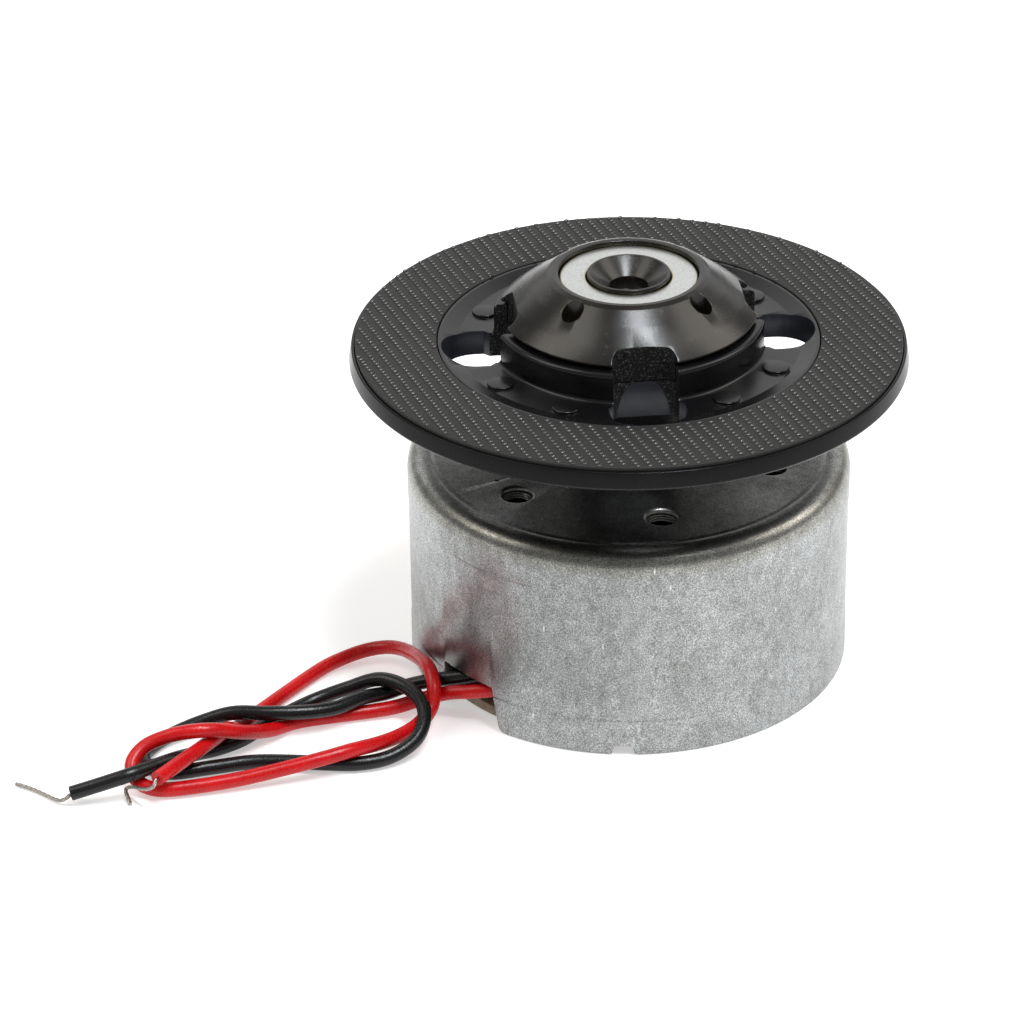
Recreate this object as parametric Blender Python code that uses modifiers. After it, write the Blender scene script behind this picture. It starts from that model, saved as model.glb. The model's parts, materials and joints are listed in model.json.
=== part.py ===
"""A disc spindle motor: a flat brushed motor in a drawn steel can, with a turntable on its shaft.

Metres, +Z up along the shaft. The origin is on the shaft's axis, level with the can's open rim, which
the motor stands on. The two leads leave the can's wall near the rim and lie on that same surface.
Profiles are lists of (radius, height), down the outer side and up the inner side.
"""

import math

import bmesh
import bpy
from mathutils import Vector

MM = 0.001
GAP = 0.05 * MM  # clearance between pieces that touch
ROUND_STEPS = 56
SMALL_STEPS = 24

# Can
CAN_RADIUS = 12.2 * MM
CAN_HEIGHT = 12.4 * MM
CAN_WALL = 0.7 * MM
CAN_EDGE = 1.0 * MM  # rounding of the top edge
NECK_RADIUS = 3.3 * MM  # drawn neck that holds the front bearing
NECK_TOP = 13.9 * MM
HOLE_CIRCLE = 8.15 * MM
HOLE_RADIUS = 0.78 * MM
HOLE_RIM = 1.05 * MM
HOLE_STEPS = 20
HOLE_START = math.radians(40.8)
DIMPLE_AT = (-7.25 * MM, -3.8 * MM)
DIMPLE_RADIUS = 0.12 * MM
DIMPLE_DEPTH = 0.25 * MM
RIM_NOTCH_WIDTH = 1.35 * MM
RIM_NOTCH_DEPTH = 0.57 * MM
RIM_NOTCH_START = math.radians(-93)
CUTOUT_WIDTH = 3.9 * MM
CUTOUT_HEIGHT = 2.7 * MM
CUTOUT_LEAN = 0.4 * MM  # how much wider the cutout is at its foot, on one side
CUTOUT_ANGLE = math.radians(-138.4)

# Shaft and bearings
SHAFT_RADIUS = 1.0 * MM
SHAFT_BOTTOM = 0.67 * MM
SHAFT_TOP = 21.4 * MM
SHAFT_CHAMFER = 0.2 * MM
BORE = 1.03 * MM
BEARING_RADIUS = 2.5 * MM
FRONT_BEARING_LENGTH = 2.1 * MM
REAR_BEARING_TOP = 2.3 * MM
THRUST_WASHER_RADIUS = 1.8 * MM
REAR_WASHER_BOTTOM = 2.34 * MM
REAR_WASHER_TOP = 2.57 * MM
FRONT_WASHER_TOP = 11.04 * MM

# End plate and brush gear
PLATE_BOTTOM = 0.3 * MM
PLATE_TOP = 0.9 * MM
PLATE_RADIUS = 11.4 * MM
BASE_TOP = 1.5 * MM
BASE_INNER = 3.0 * MM
BASE_RADIUS = 9.0 * MM
GEAR_ANGLE = math.radians(-120)  # the side of the can that the brush gear's terminals face
TERMINAL_START = 5.0 * MM
TERMINAL_LENGTH = 3.4 * MM
TERMINAL_TAB_INNER = 1.3 * MM
TERMINAL_TAB_TOP = 1.83 * MM
TERMINAL_UPRIGHT_INNER = 2.3 * MM
TERMINAL_OUTER = 2.9 * MM
TERMINAL_TOP = 3.7 * MM
BRUSH_HEIGHT = 3.2 * MM  # middle of the brush leaves and of the commutator's bars
LEAF_OFFSET = 2.13 * MM
LEAF_THICKNESS = 0.12 * MM
LEAF_WIDTH = 0.9 * MM
LEAF_TIP = 1.6 * MM  # how far the leaf reaches past the commutator's middle
LEAF_BEND = 0.8 * MM
LEAF_LIFT = 0.25 * MM

# Rotor inside the can
CORE_BOTTOM = 5.6 * MM
CORE_TOP = 8.6 * MM
CORE_RADIUS = 7.9 * MM
POLE_INNER = 6.6 * MM
POLE_SPAN = math.radians(104)
POLE_NECK = 1.0 * MM
HUB_RADIUS = 2.4 * MM
COIL_START = 3.3 * MM
COIL_LENGTH = 2.9 * MM
COMMUTATOR_INNER = 1.9 * MM
COMMUTATOR_OUTER = 2.1 * MM
COMMUTATOR_BOTTOM = 2.62 * MM
COMMUTATOR_TOP = 5.5 * MM
BAR_LENGTH = 1.15 * MM
BAR_SPAN = math.radians(112)
VARISTOR_RADIUS = 4.2 * MM
VARISTOR_BOTTOM = 3.9 * MM
VARISTOR_TOP = 4.4 * MM
COIL_WIDTH = 4.4 * MM
COIL_OVERHANG = 1.1 * MM
COIL_ROUNDING = 0.9 * MM
MAGNET_INNER = 8.35 * MM
MAGNET_OUTER = 11.42 * MM
MAGNET_SPAN = math.radians(124)
MAGNET_BOTTOM = 3.6 * MM
MAGNET_TOP = 10.4 * MM

# Turntable
TABLE_RADIUS = 15.2 * MM
TABLE_TOP_RADIUS = 15.05 * MM
TABLE_LIP_TOP = 19.0 * MM
TABLE_BOTTOM = 18.0 * MM
TABLE_HUB_BOTTOM = 17.5 * MM
FLOOR_TOP = 18.9 * MM
FLOOR_EDGE = 9.33 * MM
MAT_INNER = 10.42 * MM
MAT_OUTER = 14.85 * MM
MAT_BOTTOM = 18.8 * MM
MAT_TOP = 19.26 * MM
RING_OUTER = 7.37 * MM
RING_INNER = 6.65 * MM
RING_TOP = 20.6 * MM
CORE_SEAT = 19.57 * MM
BOSS_RADIUS = 3.2 * MM
BOSS_BOTTOM = 14.6 * MM
SLOT_ANGLE = math.radians(-84.5)
SLOT_END = 10.2 * MM
SLOT_HALF = 2.05 * MM
SLOT_CORNER = 1.95 * MM
NOTCH_HALF = 1.75 * MM
NOTCH_WALL = 6.15 * MM  # distance of the notch's flat inner wall from the axis
NOTCH_CORNER = 0.55 * MM
PAD_CIRCLE = 8.55 * MM
PAD_RADIUS = 0.73 * MM
PAD_HEIGHT = 0.15 * MM
PAD_SPREAD = math.radians(30)

# Centring cone and chucking washer
CONE_BASE = 7.0 * MM
CONE_BOTTOM = 20.78 * MM
CONE_TOP = 23.05 * MM
CONE_LIP = 4.4 * MM
CONE_BULGE = 0.1 * MM
RECESS_OUTER = 3.8 * MM
RECESS_INNER = 2.25 * MM
RECESS_FLOOR = 21.95 * MM
FUNNEL_RADIUS = 2.1 * MM
FUNNEL_BOTTOM = 22.25 * MM
POCKET_CIRCLE = 4.85 * MM
POCKET_RADIUS = 0.6 * MM
POCKET_FLOOR = 20.4 * MM
WASHER_TOP = 22.8 * MM

# Leads
LEAD_DIAMETER = 0.8 * MM
LEAD_SPACING = 1.0 * MM  # distance between the points of a lead's tube
STRAND_DIAMETER = 0.3 * MM
STRAND_SPACING = 0.4 * MM
# Routes of the leads in millimetres, from the solder joint inside the can to the stripped end.
RED_ROUTE = (
    (-2.6, -8.1, 2.25), (-5.9, -8.5, 2.25), (-7.6, -8.7, 2.1), (-8.85, -8.58, 1.92),
    (-10.1, -8.11, 1.57), (-11.73, -7.77, 0.92), (-13.52, -7.93, 0.48), (-17.95, -8.98, 0.48),
    (-19.69, -10.22, 0.69), (-21.1, -11.68, 1.5), (-22.59, -12.72, 2.33), (-24.1, -13.02, 2.4),
    (-25.34, -13.1, 2.1), (-26.36, -13.5, 1.76), (-26.93, -14.28, 1.25), (-26.66, -15.1, 0.78),
    (-25.8, -15.58, 0.52), (-24.5, -15.56, 0.46), (-21.67, -15.04, 0.58), (-19.13, -14.47, 0.85),
    (-16.76, -13.89, 1.17), (-15.21, -13.28, 1.28), (-13.75, -12.21, 1.02), (-12.62, -11.03, 0.77),
    (-11.68, -9.98, 0.8), (-11, -9.14, 1.29), (-10.85, -8.3, 2.18), (-11.12, -7.26, 2.63),
    (-11.54, -5.85, 2.31), (-12.02, -4.39, 1.78), (-12.68, -3.03, 1.31), (-13.59, -2.21, 0.95),
    (-14.71, -2.03, 0.66), (-15.95, -2.52, 0.48), (-17.44, -3.9, 0.44), (-20.3, -7.77, 0.45),
    (-21.6, -9.75, 0.57), (-22.08, -10.95, 1.25), (-22.6, -12.25, 1.5), (-25.4, -16.5, 1.75),
)
BLACK_ROUTE = (
    (-5.7, -6.5, 2.25), (-7.2, -7.2, 2.25), (-8.95, -7.45, 2.22), (-10.75, -7.2, 1.87),
    (-12.3, -6.93, 1.35), (-13.5, -7.15, 1.03), (-14.82, -8.04, 1.28), (-16.27, -9, 1.26),
    (-17.96, -9.53, 1.36), (-19.84, -9.69, 1.43), (-21.76, -9.54, 1.38), (-23.5, -9.65, 0.9),
    (-25, -10.25, 0.55), (-25.98, -11.2, 0.44), (-26.48, -12.4, 0.44), (-26.05, -13.43, 0.44),
    (-24.9, -13.95, 0.44), (-22.8, -13.5, 0.44), (-20.58, -13.1, 0.5), (-18.42, -13.14, 0.5),
    (-16.64, -13.27, 0.46), (-14.85, -13.3, 0.44), (-13.19, -12.85, 0.54), (-11.88, -11.87, 0.91),
    (-11.37, -10.68, 1.45), (-11.5, -9.54, 1.86), (-12.36, -8.08, 1.96), (-13.87, -6.98, 1.82),
    (-15.66, -6.68, 1.06), (-17.34, -7.06, 0.62), (-18.79, -8.04, 0.45), (-20.06, -9.34, 0.44),
    (-21.22, -10.74, 0.44), (-22.55, -11.75, 0.5), (-23.6, -12.65, 0.8), (-24.5, -13.77, 1.26),
    (-25.55, -14.65, 1.4), (-26.81, -15.64, 1.5), (-28.34, -15.99, 1.15), (-30.05, -16.19, 0.68),
)
RED_STRAND_ROUTE = (
    (-25.43, -16.55, 1.73), (-25.58, -16.95, 1.55), (-25.94, -16.8, 1.3), (-26.36, -16.36, 1.05),
    (-26.77, -15.9, 0.85), (-27.1, -15.6, 0.62), (-27.2, -15.67, 0.45), (-27.07, -16.03, 0.3),
    (-26.9, -16.5, 0.17),
)
BLACK_STRAND_ROUTE = (
    (-30.1, -16.22, 0.64), (-30.28, -16.34, 0.5), (-30.63, -16.24, 0.28), (-31.07, -15.89, 0.18),
    (-31.31, -15.67, 0.17), (-32.05, -15.09, 0.17), (-32.61, -14.72, 0.17), (-33.18, -14.42, 0.17),
)


def clear_scene():
    for obj in list(bpy.data.objects):
        bpy.data.objects.remove(obj, do_unlink=True)


def new_collection(name):
    collection = bpy.data.collections.new(name)
    bpy.context.scene.collection.children.link(collection)
    return collection


def material(name, colour, roughness, metallic=0.0):
    made = bpy.data.materials.new(name)
    made.use_nodes = True
    shader = made.node_tree.nodes["Principled BSDF"]
    shader.inputs["Base Color"].default_value = (*colour, 1.0)
    shader.inputs["Roughness"].default_value = roughness
    shader.inputs["Metallic"].default_value = metallic
    return made


def place(name, data, finish, collection=None):
    """A new object holding this mesh or curve, in the motor's collection unless another is given."""
    obj = bpy.data.objects.new(name, data)
    (collection or PARTS).objects.link(obj)
    if finish:
        data.materials.append(finish)
    return obj


def hide_helper(obj):
    obj.hide_render = True
    obj.display_type = "WIRE"
    return obj


def turned(name, profile, finish, steps=ROUND_STEPS):
    """A closed profile turned about +Z."""
    mesh = bpy.data.meshes.new(name)
    count = len(profile)
    points = [(radius, 0.0, height) for radius, height in profile]
    mesh.from_pydata(points, [(i, (i + 1) % count) for i in range(count)], [])
    obj = place(name, mesh, finish)
    screw = obj.modifiers.new("Turn", "SCREW")
    screw.steps = steps
    screw.render_steps = steps
    screw.use_merge_vertices = True
    screw.merge_threshold = 1e-6
    screw.use_smooth_shade = False
    return obj


def ring(name, outer, inner, bottom, top, finish, steps=ROUND_STEPS):
    return turned(name, [(outer, top), (outer, bottom), (inner, bottom), (inner, top)], finish, steps)


def arc(radius, start, end, count, centre=(0.0, 0.0)):
    """Points on an arc, ends included."""
    turn = (end - start) / (count - 1)
    return [
        (centre[0] + radius * math.cos(start + i * turn), centre[1] + radius * math.sin(start + i * turn))
        for i in range(count)
    ]


def flat_solid(name, outlines, thickness, finish, collection=None):
    """Closed outlines in the XY plane, filled and extruded evenly about it. Inner outlines are holes."""
    curve = bpy.data.curves.new(name, "CURVE")
    curve.dimensions = "2D"
    curve.fill_mode = "BOTH"
    curve.extrude = thickness / 2
    for outline in outlines:
        spline = curve.splines.new("POLY")
        spline.points.add(len(outline) - 1)
        for point, (x, y) in zip(spline.points, outline):
            point.co = (x, y, 0.0, 1.0)
        spline.use_cyclic_u = True
    return place(name, curve, finish, collection)


def as_mesh(obj, collection=None):
    """The same shape as a welded mesh, because a curve can't be cut or used as a cutter."""
    bpy.context.view_layer.update()
    evaluated = obj.evaluated_get(bpy.context.evaluated_depsgraph_get())
    mesh = bpy.data.meshes.new_from_object(evaluated)
    shape = bmesh.new()
    shape.from_mesh(mesh)
    bmesh.ops.remove_doubles(shape, verts=shape.verts, dist=1e-7)
    bmesh.ops.recalc_face_normals(shape, faces=shape.faces)
    shape.to_mesh(mesh)
    shape.free()
    name = obj.name
    matrix = obj.matrix_world.copy()
    bpy.data.objects.remove(obj, do_unlink=True)
    made = place(name, mesh, None, collection)
    made.matrix_world = matrix
    return made


def discs(name, places, radius, bottom, top, steps, top_radius=None):
    """One helper mesh holding a disc at each (x, y), straight or flared towards its top."""
    shape = bmesh.new()
    for x, y in places:
        made = bmesh.ops.create_cone(
            shape,
            cap_ends=True,
            segments=steps,
            radius1=radius,
            radius2=top_radius or radius,
            depth=top - bottom,
        )
        bmesh.ops.translate(shape, verts=made["verts"], vec=(x, y, (top + bottom) / 2))
    mesh = bpy.data.meshes.new(name)
    shape.to_mesh(mesh)
    shape.free()
    return hide_helper(place(name, mesh, None, CUTTERS))


def combine(obj, other, operation="DIFFERENCE"):
    boolean = obj.modifiers.new(other.name, "BOOLEAN")
    boolean.operation = operation
    boolean.object = other
    boolean.solver = "EXACT"


def around(angle, distance):
    return (distance * math.cos(angle), distance * math.sin(angle))


def circle_places(distance, start, count):
    return [around(start + i * math.tau / count, distance) for i in range(count)]


def quarter_round(centre, radius, start, end, count=4):
    return arc(radius, math.radians(start), math.radians(end), count, centre)


# Housing ------------------------------------------------------------------------------------------


def can_profile():
    inner = CAN_RADIUS - CAN_WALL
    under = CAN_HEIGHT - CAN_WALL
    neck_bore = BEARING_RADIUS + GAP
    edge_centre = (CAN_RADIUS - CAN_EDGE, CAN_HEIGHT - CAN_EDGE)
    return [
        (BORE + 0.55 * MM, NECK_TOP),
        (NECK_RADIUS - 0.2 * MM, NECK_TOP),
        (NECK_RADIUS, NECK_TOP - 0.2 * MM),
        (NECK_RADIUS, CAN_HEIGHT),
        *quarter_round(edge_centre, CAN_EDGE, 90, 0),
        (CAN_RADIUS, 0.0),
        (inner, 0.0),
        (inner, under - 0.4 * MM),
        (inner - 0.4 * MM, under),
        (neck_bore, under),
        (neck_bore, NECK_TOP - CAN_WALL),
        (BORE + 0.55 * MM, NECK_TOP - CAN_WALL),
    ]


def wall_cutter(name, outline, angle):
    """A prism through the can's wall at this angle. Its outline is across the wall and up."""
    cutter = flat_solid(name, [outline], 0.8 * CAN_RADIUS, None, CUTTERS)
    cutter.rotation_euler = (math.pi / 2, 0.0, angle + math.pi / 2)
    cutter.location = (*around(angle, CAN_RADIUS), 0.0)
    return hide_helper(as_mesh(cutter, CUTTERS))


def make_can():
    can = turned("motor_can", can_profile(), ZINC)
    places = circle_places(HOLE_CIRCLE, HOLE_START, 6)
    under = CAN_HEIGHT - 2 * CAN_WALL
    combine(can, discs("can_holes", places, HOLE_RADIUS, under, CAN_HEIGHT + CAN_WALL, HOLE_STEPS))
    flare = HOLE_RIM - HOLE_RADIUS
    rim = discs(
        "can_hole_rims",
        places,
        HOLE_RADIUS - flare,
        CAN_HEIGHT - 2 * flare,
        CAN_HEIGHT + flare,
        HOLE_STEPS,
        HOLE_RIM + flare,
    )
    combine(can, rim)
    top = CAN_HEIGHT + DIMPLE_DEPTH
    combine(can, discs("dimple", [DIMPLE_AT], DIMPLE_RADIUS, CAN_HEIGHT - DIMPLE_DEPTH, top, 12))
    half = CUTOUT_WIDTH / 2
    below = -1.0 * MM
    foot = half + CUTOUT_LEAN
    window = [(-half, below), (foot, below), (foot, 0.0), (half, CUTOUT_HEIGHT), (-half, CUTOUT_HEIGHT)]
    combine(can, wall_cutter("lead_cutout", window, CUTOUT_ANGLE))
    half = RIM_NOTCH_WIDTH / 2
    flare = 0.2 * MM
    notch = [(-half - 2 * flare, below), (half + 2 * flare, below), (half - flare, RIM_NOTCH_DEPTH)]
    notch.append((flare - half, RIM_NOTCH_DEPTH))
    for i in range(3):
        angle = RIM_NOTCH_START + i * math.tau / 3
        combine(can, wall_cutter(f"rim_notch_{i + 1}", notch, angle))
    return can


def make_magnet(name, angle):
    half = MAGNET_SPAN / 2
    outline = arc(MAGNET_OUTER, -half, half, 17) + arc(MAGNET_INNER, half, -half, 17)
    magnet = flat_solid(name, [outline], MAGNET_TOP - MAGNET_BOTTOM, FERRITE)
    magnet.location.z = (MAGNET_TOP + MAGNET_BOTTOM) / 2
    magnet.rotation_euler.z = angle
    return magnet


def gear_point(along, across, height):
    """A point given along the brush gear's direction, across it, and up."""
    x, y = around(GEAR_ANGLE, along)
    dx, dy = around(GEAR_ANGLE + math.pi / 2, across)
    return Vector((x + dx, y + dy, height))


def make_terminal(name, side):
    """An angle bracket: a tab on the brush base and an upright that the brush leaf is fixed to."""
    outline = [
        (TERMINAL_TAB_INNER, BASE_TOP + GAP),
        (TERMINAL_OUTER, BASE_TOP + GAP),
        (TERMINAL_OUTER, TERMINAL_TOP),
        (TERMINAL_UPRIGHT_INNER, TERMINAL_TOP),
        (TERMINAL_UPRIGHT_INNER, TERMINAL_TAB_TOP),
        (TERMINAL_TAB_INNER, TERMINAL_TAB_TOP),
    ]
    if side < 0:
        outline = [(-x, z) for x, z in reversed(outline)]
    bracket = flat_solid(name, [outline], TERMINAL_LENGTH, BRASS)
    bracket.rotation_euler = (math.pi / 2, 0.0, GEAR_ANGLE + math.pi / 2)
    bracket.location = gear_point(TERMINAL_START + TERMINAL_LENGTH / 2, 0.0, 0.0)
    return bracket


def make_brush(name, side):
    """A leaf spring from its terminal to the commutator, with its free tip bent away."""
    inner, outer = side * LEAF_OFFSET, side * (LEAF_OFFSET + LEAF_THICKNESS)
    lift = side * LEAF_LIFT
    fixed_end = TERMINAL_START + TERMINAL_LENGTH - 2 * GAP
    outline = [(-LEAF_TIP, inner + lift), (-LEAF_BEND, inner), (fixed_end, inner)]
    outline += [(fixed_end, outer), (-LEAF_BEND, outer), (-LEAF_TIP, outer + lift)]
    leaf = flat_solid(name, [outline], LEAF_WIDTH, BRONZE_LEAF)
    leaf.rotation_euler.z = GEAR_ANGLE
    leaf.location.z = BRUSH_HEIGHT
    return leaf


def make_housing():
    neck_inside = NECK_TOP - CAN_WALL
    bearing_bottom = neck_inside - FRONT_BEARING_LENGTH
    make_can()
    ring("front_bearing", BEARING_RADIUS, BORE, bearing_bottom, neck_inside - GAP, BRONZE, SMALL_STEPS)
    make_magnet("magnet_1", GEAR_ANGLE + math.pi / 2)
    make_magnet("magnet_2", GEAR_ANGLE - math.pi / 2)
    ring("end_plate", PLATE_RADIUS, BEARING_RADIUS + GAP, PLATE_BOTTOM, PLATE_TOP, LAMINATE)
    ring("brush_base", BASE_RADIUS, BASE_INNER, PLATE_TOP + GAP, BASE_TOP, NYLON)
    make_terminal("terminal_1", 1)
    make_terminal("terminal_2", -1)
    make_brush("brush_1", 1)
    make_brush("brush_2", -1)
    ring("rear_bearing", BEARING_RADIUS, BORE, SHAFT_BOTTOM, REAR_BEARING_TOP, BRONZE, SMALL_STEPS)
    pad = [(BEARING_RADIUS, SHAFT_BOTTOM - GAP), (BEARING_RADIUS, PLATE_BOTTOM), (0.0, PLATE_BOTTOM)]
    pad.append((0.0, SHAFT_BOTTOM - GAP))
    turned("thrust_pad", pad, NYLON, SMALL_STEPS)


# Rotor --------------------------------------------------------------------------------------------


def core_outline():
    """Three T-shaped poles around a hub, counter-clockwise."""
    outline = []
    half_span = POLE_SPAN / 2
    neck_at_shoe = math.asin(POLE_NECK / POLE_INNER)
    neck_at_hub = math.asin(POLE_NECK / HUB_RADIUS)
    pitch = math.tau / 3
    for pole in range(3):
        middle = pole * pitch
        outline += arc(HUB_RADIUS, middle - pitch / 2, middle - neck_at_hub, 4)
        outline += arc(POLE_INNER, middle - neck_at_shoe, middle - half_span, 7)
        outline += arc(CORE_RADIUS, middle - half_span, middle + half_span, 15)
        outline += arc(POLE_INNER, middle + half_span, middle + neck_at_shoe, 7)
        outline += arc(HUB_RADIUS, middle + neck_at_hub, middle + pitch / 2, 4)[:-1]
    return outline


def rounded_rectangle(width, height, radius):
    outline = []
    for turn, sx, sy in ((0, 1, 1), (1, -1, 1), (2, -1, -1), (3, 1, -1)):
        centre = (sx * (width / 2 - radius), sy * (height / 2 - radius))
        outline += arc(radius, turn * math.pi / 2, (turn + 1) * math.pi / 2, 4, centre)
    return outline


def make_coil(name, angle):
    stack = CORE_TOP - CORE_BOTTOM
    window = rounded_rectangle(2 * POLE_NECK + 4 * GAP, stack + 4 * GAP, 2 * GAP)
    outside = rounded_rectangle(COIL_WIDTH, stack + 2 * COIL_OVERHANG, COIL_ROUNDING)
    coil = flat_solid(name, [outside, window], COIL_LENGTH, COPPER)
    coil.rotation_euler = (math.pi / 2, 0.0, angle + math.pi / 2)
    coil.location = (*around(angle, COIL_START + COIL_LENGTH / 2), (CORE_TOP + CORE_BOTTOM) / 2)
    return coil


def make_commutator():
    hub_radius = COMMUTATOR_INNER - GAP
    ring("commutator_hub", hub_radius, BORE, COMMUTATOR_BOTTOM, COMMUTATOR_TOP, NYLON_DARK, SMALL_STEPS)
    half = BAR_SPAN / 2
    for i in range(3):
        outline = arc(COMMUTATOR_OUTER, -half, half, 11) + arc(COMMUTATOR_INNER, half, -half, 11)
        bar = flat_solid(f"commutator_bar_{i + 1}", [outline], BAR_LENGTH, COPPER)
        bar.location.z = BRUSH_HEIGHT
        bar.rotation_euler.z = math.pi / 3 + i * math.tau / 3
    inner = COMMUTATOR_INNER
    ring("varistor_ring", VARISTOR_RADIUS, inner, VARISTOR_BOTTOM, VARISTOR_TOP, FERRITE, SMALL_STEPS)


def make_rotor_core():
    bore = arc(BORE, 0, math.tau, SMALL_STEPS + 1)[:-1]
    core = flat_solid("rotor_core", [core_outline(), bore], CORE_TOP - CORE_BOTTOM, LAMINATION)
    core.location.z = (CORE_TOP + CORE_BOTTOM) / 2
    for i in range(3):
        make_coil(f"coil_{i + 1}", i * math.tau / 3)


def make_rotor():
    shaft = [
        (0.0, SHAFT_TOP),
        (SHAFT_RADIUS - SHAFT_CHAMFER, SHAFT_TOP),
        (SHAFT_RADIUS, SHAFT_TOP - SHAFT_CHAMFER),
        (SHAFT_RADIUS, SHAFT_BOTTOM + SHAFT_CHAMFER),
        (SHAFT_RADIUS - SHAFT_CHAMFER, SHAFT_BOTTOM),
        (0.0, SHAFT_BOTTOM),
    ]
    turned("shaft", shaft, STEEL, SMALL_STEPS)
    make_rotor_core()
    make_commutator()
    radius = THRUST_WASHER_RADIUS
    ring("rear_washer", radius, BORE, REAR_WASHER_BOTTOM, REAR_WASHER_TOP, NYLON, SMALL_STEPS)
    ring("front_washer", radius, BORE, CORE_TOP + GAP, FRONT_WASHER_TOP, NYLON, SMALL_STEPS)


# Turntable ----------------------------------------------------------------------------------------


def notch_wall():
    """The notch's inner wall and its two rounded corners, in plan, from one side to the other."""
    x, y = NOTCH_WALL + NOTCH_CORNER, NOTCH_HALF - NOTCH_CORNER
    return [
        *arc(NOTCH_CORNER, math.pi / 2, math.pi, 5, (x, y)),
        *arc(NOTCH_CORNER, math.pi, 3 * math.pi / 2, 5, (x, -y)),
    ]


def slot_outline():
    flare_start = RING_OUTER + GAP
    flare_end = flare_start + SLOT_HALF - NOTCH_HALF
    end = (SLOT_END - SLOT_CORNER, SLOT_HALF - SLOT_CORNER)
    return [
        *notch_wall(),
        (flare_start, -NOTCH_HALF),
        (flare_end, -SLOT_HALF),
        *arc(SLOT_CORNER, -math.pi / 2, 0, 6, (end[0], -end[1])),
        *arc(SLOT_CORNER, 0, math.pi / 2, 6, end),
        (flare_end, SLOT_HALF),
        (flare_start, NOTCH_HALF),
    ]


def radial_cutters(name, outline, bottom, top):
    """Four prisms with this plan, a quarter turn apart."""
    made = []
    for i in range(4):
        cutter = flat_solid(f"{name}_{i + 1}", [outline], top - bottom, None, CUTTERS)
        cutter.location.z = (top + bottom) / 2
        cutter.rotation_euler.z = SLOT_ANGLE + i * math.tau / 4
        made.append(hide_helper(as_mesh(cutter, CUTTERS)))
    return made


def table_profile():
    fillet = 0.2 * MM
    bead = 0.25 * MM
    return [
        (BORE, CORE_SEAT),
        (RING_INNER, CORE_SEAT),
        (RING_INNER, RING_TOP),
        *quarter_round((RING_OUTER - bead, RING_TOP - bead), bead, 90, 0),
        (RING_OUTER, FLOOR_TOP + fillet),
        (RING_OUTER + fillet, FLOOR_TOP),
        (FLOOR_EDGE, FLOOR_TOP),
        (MAT_INNER - GAP, FLOOR_TOP + fillet),
        (MAT_INNER - GAP, MAT_BOTTOM - GAP),
        (MAT_OUTER + GAP, MAT_BOTTOM - GAP),
        (MAT_OUTER + GAP, TABLE_LIP_TOP),
        (TABLE_TOP_RADIUS, TABLE_LIP_TOP),
        (TABLE_RADIUS, TABLE_BOTTOM + 0.2 * MM),
        (TABLE_RADIUS - 0.2 * MM, TABLE_BOTTOM),
        (12.0 * MM, TABLE_BOTTOM),
        (11.0 * MM, TABLE_HUB_BOTTOM),
        (BOSS_RADIUS, TABLE_HUB_BOTTOM),
        (BOSS_RADIUS, BOSS_BOTTOM),
        (BORE, BOSS_BOTTOM),
    ]


def make_turntable():
    table = turned("turntable", table_profile(), BLACK_PLASTIC)
    clear = 1.0 * MM
    for cutter in radial_cutters("slot", slot_outline(), TABLE_HUB_BOTTOM - clear, RING_TOP + clear):
        combine(table, cutter)
    places = []
    for i in range(4):
        for side in (-1, 1):
            places.append(around(SLOT_ANGLE + i * math.tau / 4 + side * PAD_SPREAD, PAD_CIRCLE))
    pads = discs("round_pads", places, PAD_RADIUS, FLOOR_TOP - 3 * PAD_HEIGHT, FLOOR_TOP + PAD_HEIGHT, 16)
    combine(table, pads, "UNION")
    ring("friction_mat", MAT_OUTER, MAT_INNER, MAT_BOTTOM, MAT_TOP, RUBBER)


def cone_slope():
    """The slightly convex side of the cone, from its base to its lip."""
    steps = 6
    run = CONE_BASE - CONE_LIP
    rise = CONE_TOP - CONE_BOTTOM - 0.15 * MM
    points = []
    for i in range(steps + 1):
        share = i / steps
        bulge = CONE_BULGE * 4 * share * (1 - share)
        points.append((CONE_BASE - run * share + bulge, CONE_BOTTOM + 0.12 * MM + rise * share + bulge))
    return points


def make_cone():
    spigot = RING_INNER - GAP
    round_off = 0.08 * MM
    profile = [
        (BORE, FUNNEL_BOTTOM),
        (FUNNEL_RADIUS, CONE_TOP - 0.03 * MM),
        (RECESS_INNER, CONE_TOP - round_off),
        (RECESS_INNER, RECESS_FLOOR),
        (RECESS_OUTER, RECESS_FLOOR),
        (RECESS_OUTER, CONE_TOP - round_off),
        (RECESS_OUTER + round_off, CONE_TOP),
        *reversed(cone_slope()),
        (CONE_BASE - round_off, CONE_BOTTOM),
        (spigot, CONE_BOTTOM),
        (spigot, CORE_SEAT + GAP),
        (BORE, CORE_SEAT + GAP),
    ]
    cone = turned("centering_cone", profile, BLACK_PLASTIC)
    clear = 1.0 * MM
    outline = [*notch_wall(), (CONE_BASE + clear, -NOTCH_HALF), (CONE_BASE + clear, NOTCH_HALF)]
    for cutter in radial_cutters("cone_notch", outline, CORE_SEAT - clear, CONE_TOP + clear):
        combine(cone, cutter)
    places = circle_places(POCKET_CIRCLE, SLOT_ANGLE + math.pi / 4, 4)
    top = CONE_TOP + clear
    combine(cone, discs("cone_pockets", places, POCKET_RADIUS, POCKET_FLOOR, top, HOLE_STEPS))
    washer_outer, washer_inner = RECESS_OUTER - GAP, RECESS_INNER + GAP
    ring("chuck_washer", washer_outer, washer_inner, RECESS_FLOOR + GAP, WASHER_TOP, ZINC)


# Leads --------------------------------------------------------------------------------------------


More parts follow.
